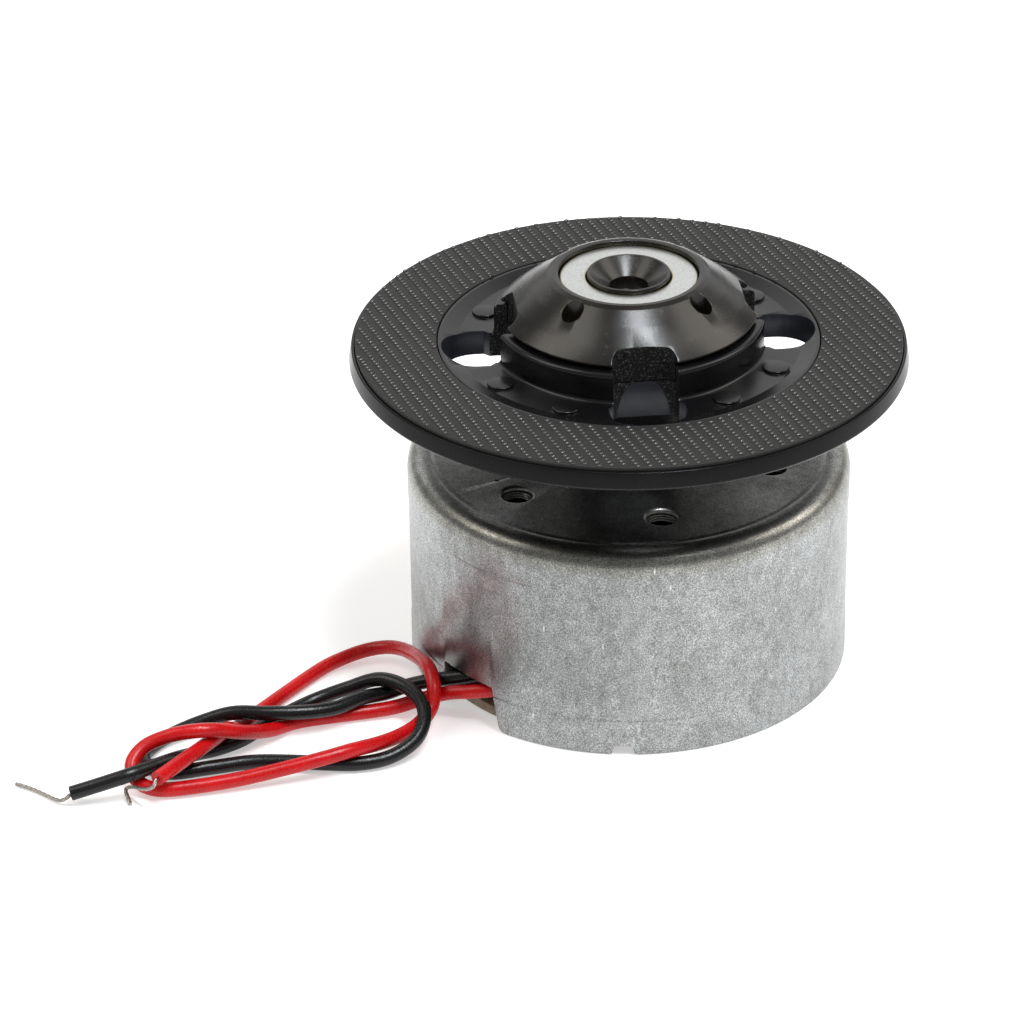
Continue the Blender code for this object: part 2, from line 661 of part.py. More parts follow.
def smooth_route(route, spacing):
    """Points a fixed distance apart on one smooth curve through the route's own points."""
    ends = [2 * route[0] - route[1], *route, 2 * route[-1] - route[-2]]
    fine = []
    for a, b, c, d in zip(ends, ends[1:], ends[2:], ends[3:]):
        for i in range(16):
            t = i / 16
            curve = (c - a) * t + (2 * a - 5 * b + 4 * c - d) * t**2 + (3 * b - a - 3 * c + d) * t**3
            fine.append(b + curve / 2)
    fine.append(route[-1])
    length = sum((b - a).length for a, b in zip(fine, fine[1:]))
    step = length / round(length / spacing)
    points = [fine[0]]
    walked = 0.0
    for a, b in zip(fine, fine[1:]):
        stretch = (b - a).length
        while walked + stretch >= step * len(points) - 1e-9 and len(points) < round(length / step):
            points.append(a.lerp(b, (step * len(points) - walked) / stretch))
        walked += stretch
    return [*points, fine[-1]]


def make_lead(name, route, diameter, spacing, finish):
    curve = bpy.data.curves.new(name, "CURVE")
    curve.dimensions = "3D"
    curve.bevel_depth = diameter / 2
    curve.bevel_resolution = 2
    curve.use_fill_caps = True
    points = smooth_route([Vector(point) * MM for point in route], spacing)
    spline = curve.splines.new("POLY")
    spline.points.add(len(points) - 1)
    for point, place_at in zip(spline.points, points):
        point.co = (*place_at, 1.0)
    return place(name, curve, finish)


def make_leads():
    make_lead("red_wire", RED_ROUTE, LEAD_DIAMETER, LEAD_SPACING, RED_PVC)
    make_lead("black_wire", BLACK_ROUTE, LEAD_DIAMETER, LEAD_SPACING, BLACK_PVC)
    make_lead("red_strand", RED_STRAND_ROUTE, STRAND_DIAMETER, STRAND_SPACING, TINNED)
    make_lead("black_strand", BLACK_STRAND_ROUTE, STRAND_DIAMETER, STRAND_SPACING, TINNED)


# Assembly -----------------------------------------------------------------------------------------

TURNING = (
    "shaft",
    "rotor_core",
    "coil_1",
    "coil_2",
    "coil_3",
    "commutator_hub",
    "commutator_bar_1",
    "commutator_bar_2",
    "commutator_bar_3",
    "varistor_ring",
    "front_washer",
    "rear_washer",
    "turntable",
    "friction_mat",
    "centering_cone",
    "chuck_washer",
)


def hang_on_spindle():
    """Everything that turns hangs on one empty on the shaft's axis."""
    axis = bpy.data.objects.new("spin_axis", None)
    PARTS.objects.link(axis)
    for name in TURNING:
        bpy.data.objects[name].parent = axis


def shade_round():
    for obj in PARTS.objects:
        if obj.type == "MESH":
            obj.data.shade_smooth()
            obj.data.set_sharp_from_angle(angle=math.radians(35))


clear_scene()
PARTS = new_collection("disc_spindle_motor")
CUTTERS = new_collection("cutters")

ZINC = material("zinc_plate", (0.53, 0.53, 0.54), 0.42, 1.0)
BLACK_PLASTIC = material("black_plastic", (0.012, 0.012, 0.014), 0.32)
RUBBER = material("mat_rubber", (0.035, 0.034, 0.035), 0.75)
BRONZE = material("sintered_bronze", (0.42, 0.27, 0.12), 0.5, 1.0)
BRONZE_LEAF = material("bronze_leaf", (0.72, 0.5, 0.28), 0.3, 1.0)
BRASS = material("brass", (0.78, 0.6, 0.28), 0.3, 1.0)
STEEL = material("steel", (0.6, 0.6, 0.61), 0.22, 1.0)
LAMINATION = material("lamination", (0.28, 0.28, 0.29), 0.5, 1.0)
COPPER = material("copper", (0.75, 0.33, 0.16), 0.35, 1.0)
FERRITE = material("ferrite", (0.06, 0.058, 0.056), 0.6)
LAMINATE = material("laminate", (0.11, 0.08, 0.045), 0.5)
NYLON = material("nylon", (0.7, 0.68, 0.6), 0.5)
NYLON_DARK = material("dark_nylon", (0.05, 0.05, 0.05), 0.5)
RED_PVC = material("red_pvc", (0.58, 0.02, 0.016), 0.4)
BLACK_PVC = material("black_pvc", (0.012, 0.012, 0.013), 0.4)
TINNED = material("tinned_copper", (0.6, 0.57, 0.52), 0.35, 1.0)

make_housing()
make_rotor()
make_turntable()
make_cone()
make_leads()
hang_on_spindle()
shade_round()
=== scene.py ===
"""Looks for a disc spindle motor: a zinc-plated can, a moulded turntable with its mat, cone and washer,
and two leads.

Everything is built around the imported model: metres, +Z up along the shaft, origin on the shaft's axis
level with the can's rim. The pieces that show from outside are built here and stand for their CAD
nodes. The pieces inside the can keep their CAD shape and get a material. Dimensions in the tables are
in millimetres.
"""

import cmath
import json
import math
import random

import bmesh
import bpy
from mathutils import Matrix, Vector


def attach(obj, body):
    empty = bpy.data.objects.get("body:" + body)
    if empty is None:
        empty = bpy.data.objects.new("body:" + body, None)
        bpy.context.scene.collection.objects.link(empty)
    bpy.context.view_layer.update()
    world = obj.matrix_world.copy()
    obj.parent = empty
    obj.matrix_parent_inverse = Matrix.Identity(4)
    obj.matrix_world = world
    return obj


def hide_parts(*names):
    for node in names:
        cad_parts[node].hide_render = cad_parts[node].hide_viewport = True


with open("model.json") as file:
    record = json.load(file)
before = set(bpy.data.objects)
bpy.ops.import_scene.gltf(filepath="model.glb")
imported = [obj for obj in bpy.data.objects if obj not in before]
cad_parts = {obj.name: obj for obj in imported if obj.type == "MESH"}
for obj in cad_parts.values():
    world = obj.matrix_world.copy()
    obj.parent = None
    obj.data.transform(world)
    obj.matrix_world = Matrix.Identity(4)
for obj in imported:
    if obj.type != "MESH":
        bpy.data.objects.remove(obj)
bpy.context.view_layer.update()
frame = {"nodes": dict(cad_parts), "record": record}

MM = 0.001
ROUND_STEPS = 256
SMALL_STEPS = 96

# Camera
CAMERA_AT = (-6.456, -200.904, 122.477)
CAMERA_DOWN = 29.617
CAMERA_ROLL = -0.805
LENS = 146.35

# Can
CAN_RADIUS = 12.2
CAN_TOP = 12.4
CAN_INNER = 11.5
HOLE_CIRCLE = 8.15
HOLE_RADIUS = 0.78
HOLE_EDGE = 0.27
HOLE_START = 40.8
DIMPLE_AT = (-7.25, -3.8)
DIMPLE_RADIUS = 0.12
CUTOUT_ANGLE = -138.4
CUTOUT_HALF = 1.95
CUTOUT_TOP = 2.7
CUTOUT_LEAN = 0.4
NOTCH_ANGLES = (-93, 27, 147)
RIM_NOTCH_HALF = 0.675
RIM_NOTCH_TOP = 0.57

# Turntable, cone and washer
SLOT_ANGLE = -84.5
SLOT_HALF = 2.05
SLOT_END = 10.2
SLOT_CORNER = 1.95
NOTCH_HALF = 1.75
NOTCH_WALL = 6.15
NOTCH_CORNER = 0.55
RING_OUTER = 7.37
RING_INNER = 6.65
RING_TOP = 20.6
CORE_SEAT = 19.57
FLOOR_TOP = 18.9
PAD_CIRCLE = 8.55
PAD_RADIUS = 0.73
PAD_HEIGHT = 0.15
PAD_SPREAD = 30
POCKET_CIRCLE = 4.85
POCKET_RADIUS = 0.6
POCKET_FLOOR = 20.4

# Mat
MAT_INNER = 10.42
MAT_OUTER = 14.85
MAT_TOP = 19.2
ROW_ANGLE = -68.4  # direction of the mat's embossed rows
ROW_PITCH = 0.338
ROW_SPACING = 0.598
BUMP_LENGTH = 0.2
BUMP_WIDTH = 0.13
BUMP_HEIGHT = 0.09

# Leads
LEAD_DIAMETER = 0.8
FILAMENT_RADIUS = 0.055
FILAMENT_OFFSET = 0.06
FILAMENT_TWIST = 1.3  # length of one turn of the twist
# Routes of the leads, from the solder joint inside the can to the stripped end.
RED_ROUTE = (
    (-2.6, -8.1, 2.25), (-5.9, -8.5, 2.25), (-7.6, -8.7, 2.1), (-8.85, -8.58, 1.92),
    (-10.1, -8.11, 1.57), (-11.73, -7.77, 0.92), (-13.52, -7.93, 0.48), (-17.95, -8.98, 0.48),
    (-19.69, -10.22, 0.69), (-21.1, -11.68, 1.5), (-22.59, -12.72, 2.33), (-24.1, -13.02, 2.4),
    (-25.34, -13.1, 2.1), (-26.36, -13.5, 1.76), (-26.93, -14.28, 1.25), (-26.66, -15.1, 0.78),
    (-25.8, -15.58, 0.52), (-24.5, -15.56, 0.46), (-21.67, -15.04, 0.58), (-19.13, -14.47, 0.85),
    (-16.76, -13.89, 1.17), (-15.21, -13.28, 1.28), (-13.75, -12.21, 1.02), (-12.62, -11.03, 0.77),
    (-11.68, -9.98, 0.8), (-11, -9.14, 1.29), (-10.85, -8.3, 2.18), (-11.12, -7.26, 2.63),
    (-11.54, -5.85, 2.31), (-12.02, -4.39, 1.78), (-12.68, -3.03, 1.31), (-13.59, -2.21, 0.95),
    (-14.71, -2.03, 0.66), (-15.95, -2.52, 0.48), (-17.44, -3.9, 0.44), (-20.3, -7.77, 0.45),
    (-21.6, -9.75, 0.57), (-22.08, -10.95, 1.25), (-22.6, -12.25, 1.5), (-25.4, -16.5, 1.75),
)
BLACK_ROUTE = (
    (-5.7, -6.5, 2.25), (-7.2, -7.2, 2.25), (-8.95, -7.45, 2.22), (-10.75, -7.2, 1.87),
    (-12.3, -6.93, 1.35), (-13.5, -7.15, 1.03), (-14.82, -8.04, 1.28), (-16.27, -9, 1.26),
    (-17.96, -9.53, 1.36), (-19.84, -9.69, 1.43), (-21.76, -9.54, 1.38), (-23.5, -9.65, 0.9),
    (-25, -10.25, 0.55), (-25.98, -11.2, 0.44), (-26.48, -12.4, 0.44), (-26.05, -13.43, 0.44),
    (-24.9, -13.95, 0.44), (-22.8, -13.5, 0.44), (-20.58, -13.1, 0.5), (-18.42, -13.14, 0.5),
    (-16.64, -13.27, 0.46), (-14.85, -13.3, 0.44), (-13.19, -12.85, 0.54), (-11.88, -11.87, 0.91),
    (-11.37, -10.68, 1.45), (-11.5, -9.54, 1.86), (-12.36, -8.08, 1.96), (-13.87, -6.98, 1.82),
    (-15.66, -6.68, 1.06), (-17.34, -7.06, 0.62), (-18.79, -8.04, 0.45), (-20.06, -9.34, 0.44),
    (-21.22, -10.74, 0.44), (-22.55, -11.75, 0.5), (-23.6, -12.65, 0.8), (-24.5, -13.77, 1.26),
    (-25.55, -14.65, 1.4), (-26.81, -15.64, 1.5), (-28.34, -15.99, 1.15), (-30.05, -16.19, 0.68),
)
RED_STRAND_ROUTE = (
    (-25.43, -16.55, 1.73), (-25.58, -16.95, 1.55), (-25.94, -16.8, 1.3), (-26.36, -16.36, 1.05),
    (-26.77, -15.9, 0.85), (-27.1, -15.6, 0.62), (-27.2, -15.67, 0.45), (-27.07, -16.03, 0.3),
    (-26.9, -16.5, 0.17),
)
BLACK_STRAND_ROUTE = (
    (-30.1, -16.22, 0.64), (-30.28, -16.34, 0.5), (-30.63, -16.24, 0.28), (-31.07, -15.89, 0.18),
    (-31.31, -15.67, 0.17), (-32.05, -15.09, 0.17), (-32.61, -14.72, 0.17), (-33.18, -14.42, 0.17),
)


# Materials ----------------------------------------------------------------------------------------


class Paint:
    """A procedural material, built node by node. Sizes are in millimetres."""

    def __init__(self, name, **sockets):
        self.material = bpy.data.materials.new(name)
        self.material.use_nodes = True
        self.tree = self.material.node_tree
        self.shader = self.tree.nodes["Principled BSDF"]
        self.coordinates = self.node("ShaderNodeTexCoord").outputs["Object"]
        self.set(**sockets)

    def set(self, **sockets):
        for socket, value in sockets.items():
            self.feed(self.shader.inputs[socket.replace("_", " ")], value)

    def feed(self, socket, value):
        if isinstance(value, bpy.types.NodeSocket):
            self.tree.links.new(value, socket)
        else:
            socket.default_value = value

    def node(self, kind, inputs=None, **settings):
        made = self.tree.nodes.new(kind)
        for key, value in settings.items():
            setattr(made, key, value)
        for key, value in (inputs or {}).items():
            self.feed(made.inputs[key], value)
        return made

    def stretched(self, stretch):
        """Object coordinates with the pattern drawn out by these factors."""
        scale = tuple(1 / s for s in stretch)
        mapping = self.node("ShaderNodeMapping", {"Vector": self.coordinates, "Scale": scale})
        return mapping.outputs["Vector"]

    def noise(self, size, detail=2.0, stretch=None, roughness=0.5):
        place = self.stretched(stretch) if stretch else self.coordinates
        inputs = {"Vector": place, "Scale": 1 / (size * MM), "Detail": detail, "Roughness": roughness}
        return self.node("ShaderNodeTexNoise", inputs).outputs["Fac"]

    def cells(self, size, stretch=None):
        place = self.stretched(stretch) if stretch else self.coordinates
        inputs = {"Vector": place, "Scale": 1 / (size * MM)}
        return self.node("ShaderNodeTexVoronoi", inputs).outputs["Distance"]

    def ramp(self, fac, *stops):
        """A colour or grey for each value of fac, from (value, colour) stops."""
        made = self.node("ShaderNodeValToRGB", {"Fac": fac})
        elements = made.color_ramp.elements
        while len(elements) < len(stops):
            elements.new(0.5)
        for element, (at, colour) in zip(elements, stops):
            element.position = at
            rgb = (colour,) * 3 if isinstance(colour, (int, float)) else colour
            element.color = (*rgb, 1.0)
        return made.outputs["Color"]

    def mix(self, fac, a, b, blend="MIX"):
        made = self.node("ShaderNodeMix", data_type="RGBA", blend_type=blend)
        self.feed(made.inputs["Factor"], fac)
        for socket, value in zip([s for s in made.inputs if s.type == "RGBA"], (a, b)):
            self.feed(socket, value if isinstance(value, bpy.types.NodeSocket) else (*value, 1.0))
        return next(s for s in made.outputs if s.type == "RGBA")

    def math(self, operation, a, b=0.0):
        made = self.node("ShaderNodeMath", operation=operation)
        self.feed(made.inputs[0], a)
        self.feed(made.inputs[1], b)
        return made.outputs[0]

    def radius(self):
        """Distance from the shaft's axis, in millimetres."""
        flat = self.node("ShaderNodeVectorMath", operation="MULTIPLY")
        self.feed(flat.inputs[0], self.coordinates)
        flat.inputs[1].default_value = (1 / MM, 1 / MM, 0.0)
        length = self.node("ShaderNodeVectorMath", operation="LENGTH")
        self.feed(length.inputs[0], flat.outputs[0])
        return length.outputs["Value"]

    def height(self):
        """Height above the can's rim, in millimetres."""
        split = self.node("ShaderNodeSeparateXYZ", {"Vector": self.coordinates})
        return self.math("MULTIPLY", split.outputs["Z"], 1 / MM)

    def rise(self, value, start, end):
        """0 at start and 1 at end, held beyond both, with a straight ramp between."""
        inputs = {"Value": value, "From Min": start, "From Max": end}
        return self.node("ShaderNodeMapRange", inputs).outputs[0]

    def band(self, value, low, high, soft):
        """1 between low and high, 0 outside, with soft edges."""
        into = self.rise(value, low - soft, low + soft)
        out = self.rise(value, high - soft, high + soft)
        return self.math("SUBTRACT", into, out)

    def bump(self, height, depth, strength=1.0, under=None):
        inputs = {"Height": height, "Distance": depth * MM, "Strength": strength}
        if under is not None:
            inputs["Normal"] = under
        return self.node("ShaderNodeBump", inputs).outputs["Normal"]


def zinc_plate():
    """Dull electroplated zinc: a fine mottle, soft stains, painted shade on a stretch of the wall and bright
    scratches.
    """
    paint = Paint("zinc_plate", Metallic=1.0)
    grain = paint.noise(0.075, 2.0, roughness=0.8)
    patches = paint.noise(0.5, 3.0, stretch=(1, 1, 1.5))
    stains = paint.noise(2.6, 3.0, stretch=(1, 1, 1.6))
    colour = paint.ramp(
        grain, (0.34, (0.2, 0.205, 0.205)), (0.5, (0.4, 0.41, 0.415)), (0.68, (0.74, 0.75, 0.76))
    )
    shade = paint.ramp(patches, (0.3, (0.72, 0.72, 0.71)), (0.7, (1.0, 1.0, 1.0)))
    colour = paint.mix(1.0, colour, shade, "MULTIPLY")
    shade = paint.ramp(stains, (0.3, (0.76, 0.755, 0.74)), (0.7, (1.0, 1.0, 1.0)))
    colour = paint.mix(1.0, colour, shade, "MULTIPLY")
    # Painted shade: the wall between x = -9 and 1 mm, from 2.2 mm up, is darkened to stand for shade.
    side = paint.node("ShaderNodeSeparateXYZ", {"Vector": paint.coordinates}).outputs["X"]
    painted_shade = paint.band(paint.math("MULTIPLY", side, 1 / MM), -9.0, 1.0, 4.0)
    height = paint.height()
    painted_shade = paint.math("MULTIPLY", painted_shade, paint.band(height, 2.2, 20.0, 1.5))
    colour = paint.mix(paint.math("MULTIPLY", painted_shade, 0.75), colour, (0.6, 0.605, 0.6), "MULTIPLY")
    warm = paint.math("MULTIPLY", paint.band(height, 11.2, 12.37, 0.25), 0.45)
    colour = paint.mix(warm, colour, (0.62, 0.57, 0.44), "MULTIPLY")
    scratches = paint.cells(0.9, stretch=(1, 1, 3.5))
    glints = paint.ramp(scratches, (0.0, 0.8), (0.05, 0.3), (0.08, 0.0))
    colour = paint.mix(glints, colour, (0.8, 0.81, 0.83))
    rough = paint.ramp(grain, (0.3, 0.4), (0.7, 0.27))
    normal = paint.bump(grain, 0.012, 0.5, paint.bump(patches, 0.02, 0.25))
    paint.set(Base_Color=colour, Roughness=rough, Normal=normal)
    return paint.material


def washer_zinc():
    paint = Paint("washer_zinc", Metallic=1.0)
    grain = paint.noise(0.09, 4.0, roughness=0.7)
    colour = paint.ramp(grain, (0.3, (0.48, 0.49, 0.47)), (0.7, (0.68, 0.69, 0.68)))
    specks = paint.ramp(paint.noise(0.3, 3.0), (0.6, 0.0), (0.72, 0.5))
    colour = paint.mix(specks, colour, (0.42, 0.39, 0.3))
    edge = paint.band(paint.radius(), 2.42, 3.62, 0.05)
    colour = paint.mix(edge, (0.52, 0.49, 0.34), colour)
    paint.set(Base_Color=colour, Roughness=paint.ramp(grain, (0.3, 0.4), (0.7, 0.28)))
    paint.set(Normal=paint.bump(grain, 0.008, 0.4))
    return paint.material


def black_plastic():
    """Moulded platter: a semi-gloss black with a fine grain and a little dust, duller on its outer lip."""
    paint = Paint("black_plastic")
    grain = paint.noise(0.07, 3.0, roughness=0.65)
    clouds = paint.noise(1.8, 3.0)
    colour = paint.ramp(clouds, (0.3, (0.003, 0.003, 0.0035)), (0.7, (0.0055, 0.0055, 0.006)))
    dust = paint.ramp(paint.noise(0.1, 2.0), (0.7, 0.0), (0.8, 0.3))
    colour = paint.mix(dust, colour, (0.08, 0.08, 0.08))
    lip = paint.rise(paint.radius(), 14.9, 15.0)
    paint.set(Base_Color=colour, Roughness=paint.ramp(clouds, (0.3, 0.16), (0.7, 0.28)))
    paint.set(Specular_IOR_Level=paint.mix(lip, (0.3,) * 3, (0.12,) * 3))
    paint.set(Normal=paint.bump(grain, 0.006, 0.4))
    return paint.material


def cone_plastic():
    """The cone's glossier black, browned by handling, with light scuffs."""
    paint = Paint("cone_plastic", Specular_IOR_Level=0.4)
    grain = paint.noise(0.09, 3.0, roughness=0.6)
    clouds = paint.noise(2.4, 2.0)
    colour = paint.ramp(clouds, (0.3, (0.003, 0.0025, 0.002)), (0.7, (0.009, 0.007, 0.005)))
    scuffs = paint.ramp(paint.noise(0.5, 6.0, stretch=(1, 1, 2), roughness=0.7), (0.56, 0.0), (0.74, 0.5))
    colour = paint.mix(scuffs, colour, (0.04, 0.038, 0.036))
    rough = paint.ramp(clouds, (0.3, 0.2), (0.7, 0.28))
    paint.set(Base_Color=colour, Roughness=paint.mix(scuffs, rough, (0.34,) * 3))
    paint.set(Normal=paint.bump(grain, 0.008, 0.5))
    return paint.material


def notch_black():
    """A broken, grainy black above an arch on the notch's wall, and a smooth haze below and beyond it."""
    paint = Paint("notch_black")
    place = {"Vector": paint.coordinates, "Rotation": (0.0, 0.0, -math.radians(SLOT_ANGLE))}
    turned_place = paint.node("ShaderNodeMapping", place).outputs["Vector"]
    split = paint.node("ShaderNodeSeparateXYZ", {"Vector": turned_place})
    x, y = [paint.math("MULTIPLY", paint.math("ABSOLUTE", split.outputs[k]), 1 / MM) for k in "XY"]
    along, across = paint.math("MAXIMUM", x, y), paint.math("MINIMUM", x, y)
    square = paint.math("MULTIPLY", across, across)
    drop = paint.math("MULTIPLY", square, paint.math("ADD", 0.25, paint.math("MULTIPLY", square, 0.3)))
    arch = paint.math("ADD", paint.height(), drop)
    ragged = paint.math("ADD", arch, paint.math("MULTIPLY", paint.noise(0.3, 4.0), 0.35))
    above = paint.rise(ragged, 19.72, 19.8)
    inside = paint.rise(along, 7.45, 7.4)
    rough = paint.math("MULTIPLY", above, inside)
    grain = paint.noise(0.11, 4.0, roughness=0.75)
    broken = paint.ramp(grain, (0.4, 0.002), (0.53, 0.008), (0.58, 0.02), (0.66, 0.14))
    haze = paint.noise(0.7, 3.0)
    smooth = paint.ramp(haze, (0.3, (0.01, 0.011, 0.015)), (0.7, (0.018, 0.02, 0.027)))
    paint.set(Base_Color=paint.mix(rough, smooth, broken))
    paint.set(Specular_IOR_Level=paint.mix(rough, (0.35,) * 3, (0.14,) * 3))
    paint.set(Roughness=paint.mix(rough, (0.36,) * 3, (0.42,) * 3))
    coarse = paint.math("MULTIPLY", rough, grain)
    paint.set(Normal=paint.bump(coarse, 0.06, 0.9, paint.bump(haze, 0.02, 0.3)))
    return paint.material


def mat_rubber():
    """A dark matt sheet with glossier embossed bumps."""
    paint = Paint("mat_rubber")
    grain = paint.noise(0.06, 3.0, roughness=0.7)
    clouds = paint.noise(3.0, 3.0)
    colour = paint.ramp(grain, (0.3, (0.008, 0.0075, 0.007)), (0.7, (0.022, 0.021, 0.02)))
    shade = paint.ramp(clouds, (0.3, 0.8), (0.7, 1.0))
    colour = paint.mix(1.0, colour, shade, "MULTIPLY")
    raised = paint.rise(paint.height(), MAT_TOP + 0.02, MAT_TOP + 0.07)
    paint.set(Base_Color=paint.mix(raised, colour, (0.02, 0.02, 0.019)))
    paint.set(Roughness=paint.mix(raised, (0.55,) * 3, (0.23,) * 3))
    paint.set(Specular_IOR_Level=paint.mix(raised, (0.3,) * 3, (0.68,) * 3))
    paint.set(Normal=paint.bump(grain, 0.01, 0.5))
    return paint.material


def pvc(name, dark, light):
    """Soft extruded insulation: satin, a little uneven in colour, with faint pressure marks."""
    paint = Paint(name, Specular_IOR_Level=0.32)
    clouds = paint.noise(1.3, 3.0)
    grain = paint.noise(0.12, 3.0)
    colour = paint.ramp(clouds, (0.3, dark), (0.7, light))
    paint.set(Base_Color=colour, Roughness=paint.ramp(grain, (0.3, 0.22), (0.7, 0.36)))
    paint.set(Normal=paint.bump(grain, 0.008, 0.6, paint.bump(clouds, 0.03, 0.4)))
    return paint.material


def metal(name, dark, light, rough, size=0.12, stretch=None):
    """A plain metal whose colour and roughness vary with a fine grain."""
    paint = Paint(name, Metallic=1.0)
    grain = paint.noise(size, 4.0, stretch, 0.65)
    paint.set(Base_Color=paint.ramp(grain, (0.3, dark), (0.7, light)))
    paint.set(Roughness=paint.ramp(grain, (0.3, rough + 0.08), (0.7, rough - 0.05)))
    paint.set(Normal=paint.bump(grain, 0.01, 0.4))
    return paint.material


def plain_solid(name, dark, light, rough, size=0.3, stretch=None):
    """A moulded or pressed non-metal with a little mottle and grain."""
    paint = Paint(name)
    mottle = paint.noise(size, 4.0, stretch, 0.6)
    paint.set(Base_Color=paint.ramp(mottle, (0.3, dark), (0.7, light)))
    paint.set(Roughness=paint.ramp(mottle, (0.3, rough + 0.06), (0.7, rough - 0.06)))
    paint.set(Normal=paint.bump(mottle, 0.01, 0.4))
    return paint.material


def banded_metal(name, dark, light, rough, direction, pitch):
    """A metal in fine bands, such as stacked sheets or wound wire."""
    paint = Paint(name, Metallic=1.0)
    inputs = {"Vector": paint.coordinates, "Scale": 0.314 / (pitch * MM), "Distortion": 0.3}
    wave = paint.node("ShaderNodeTexWave", inputs, bands_direction=direction).outputs["Fac"]
    paint.set(Base_Color=paint.ramp(wave, (0.1, dark), (0.6, light)))
    paint.set(Roughness=paint.ramp(wave, (0.0, rough + 0.1), (1.0, rough)))
    paint.set(Normal=paint.bump(wave, 0.03, 0.8))
    return paint.material


ZINC = zinc_plate()
WASHER_ZINC = washer_zinc()
BLACK_PLASTIC = black_plastic()
CONE_PLASTIC = cone_plastic()
NOTCH_BLACK = notch_black()
MAT_RUBBER = mat_rubber()
RED_PVC = pvc("red_pvc", (0.43, 0.002, 0.004), (0.54, 0.005, 0.007))
BLACK_PVC = pvc("black_pvc", (0.003, 0.003, 0.0035), (0.006, 0.006, 0.0065))
TINNED = metal("tinned_copper", (0.22, 0.2, 0.18), (0.5, 0.47, 0.43), 0.36)
LAMINATE = plain_solid("laminate", (0.13, 0.105, 0.065), (0.26, 0.215, 0.14), 0.5, 0.4, (4, 1, 1))
NYLON = plain_solid("nylon", (0.6, 0.58, 0.5), (0.74, 0.72, 0.65), 0.45)
STEEL = metal("ground_steel", (0.5, 0.5, 0.51), (0.66, 0.66, 0.67), 0.2, 0.1, (1, 1, 0.3))

CAD_FINISHES = {
    "sintered_bronze": metal("sintered_bronze", (0.22, 0.13, 0.06), (0.5, 0.33, 0.16), 0.5, 0.08),
    "brass_plate": metal("brass_plate", (0.6, 0.45, 0.2), (0.78, 0.6, 0.3), 0.32),
    "bronze_leaf": metal("bronze_leaf", (0.6, 0.38, 0.2), (0.76, 0.52, 0.3), 0.26, 0.1, (6, 1, 1)),
    "commutator_copper": metal(
        "commutator_copper", (0.5, 0.25, 0.12), (0.75, 0.42, 0.25), 0.3, 0.1, (1, 1, 0.2)
    ),
    "enamelled_copper": banded_metal(
        "enamelled_copper", (0.16, 0.05, 0.02), (0.6, 0.26, 0.12), 0.28, "DIAGONAL", 0.16
    ),
    "lamination_steel": banded_metal(
        "lamination_steel", (0.1, 0.1, 0.11), (0.4, 0.4, 0.42), 0.42, "Z", 0.35
    ),
    "ferrite": plain_solid("ferrite", (0.03, 0.03, 0.032), (0.075, 0.075, 0.08), 0.6, 0.2),
    "nylon": NYLON,
    "dark_nylon": plain_solid("dark_nylon", (0.03, 0.03, 0.03), (0.055, 0.055, 0.055), 0.45),
}


# Shapes -------------------------------------------------------------------------------------------


def rounded(corners, steps=5):
    """A closed profile from (radius, height, rounding) corners."""
    points = []
    for i, (x, y, size) in enumerate(corners):
        here = complex(x, y)
        before = complex(*corners[i - 1][:2]) - here
        after = complex(*corners[(i + 1) % len(corners)][:2]) - here
        if size == 0:
            points.append(here)
            continue
        before /= abs(before)
        after /= abs(after)
        half = abs(cmath.phase(after / before)) / 2
        reach = size / math.tan(half)
        middle = here + (before + after) / abs(before + after) * size / math.sin(half)
        spoke = here + before * reach - middle
        turn = cmath.phase((here + after * reach - middle) / spoke)
        points += [middle + spoke * cmath.exp(1j * turn * k / steps) for k in range(steps + 1)]
    return [(point.real, point.imag) for point in points]


def add_lathe(shape, profile, steps, centre=(0.0, 0.0)):
    """A closed profile turned about an upright axis, added to this bmesh. Returns its vertices."""
    rings = []
    for radius, height in profile:
        count = steps if radius > 1e-6 else 1
        angles = [i * math.tau / steps for i in range(count)]
        rings.append([
            shape.verts.new((
                (centre[0] + radius * math.cos(a)) * MM,
                (centre[1] + radius * math.sin(a)) * MM,
                height * MM,
            ))
            for a in angles
        ])
    for low, high in zip(rings, rings[1:] + rings[:1]):
        for i in range(steps):
            j = (i + 1) % steps
            corners = (low[i % len(low)], low[j % len(low)], high[j % len(high)], high[i % len(high)])
            corners = list(dict.fromkeys(corners))
            if len(corners) > 2:
                shape.faces.new(corners)


def add_prism(shape, outline, to_low, to_high):
    """A prism between two copies of an outline. Each function takes an outline point to its place."""
    low = [shape.verts.new(Vector(to_low(*point)) * MM) for point in outline]
    high = [shape.verts.new(Vector(to_high(*point)) * MM) for point in outline]
    shape.faces.new(low)
    shape.faces.new(reversed(high))
    for i in range(len(outline)):
        j = (i + 1) % len(outline)
        shape.faces.new((low[i], low[j], high[j], high[i]))


def to_object(name, shape, *finishes):
    """An object from a finished bmesh, with its faces turned outwards."""
    bmesh.ops.recalc_face_normals(shape, faces=shape.faces)
    mesh = bpy.data.meshes.new(name)
    shape.to_mesh(mesh)
    shape.free()
    for finish in finishes:
        mesh.materials.append(finish)
    obj = bpy.data.objects.new(name, mesh)
    bpy.context.scene.collection.objects.link(obj)
    return obj


def turned(name, corners, finish, steps=ROUND_STEPS, arc_steps=5):
    shape = bmesh.new()
    add_lathe(shape, rounded(corners, arc_steps), steps)
    return to_object(name, shape, finish)


def applied(obj):
    """The object with its modifiers made part of its mesh."""
    bpy.context.view_layer.update()
    evaluated = obj.evaluated_get(bpy.context.evaluated_depsgraph_get())
    mesh = bpy.data.meshes.new_from_object(evaluated)
    obj.modifiers.clear()
    obj.data = mesh
    return obj


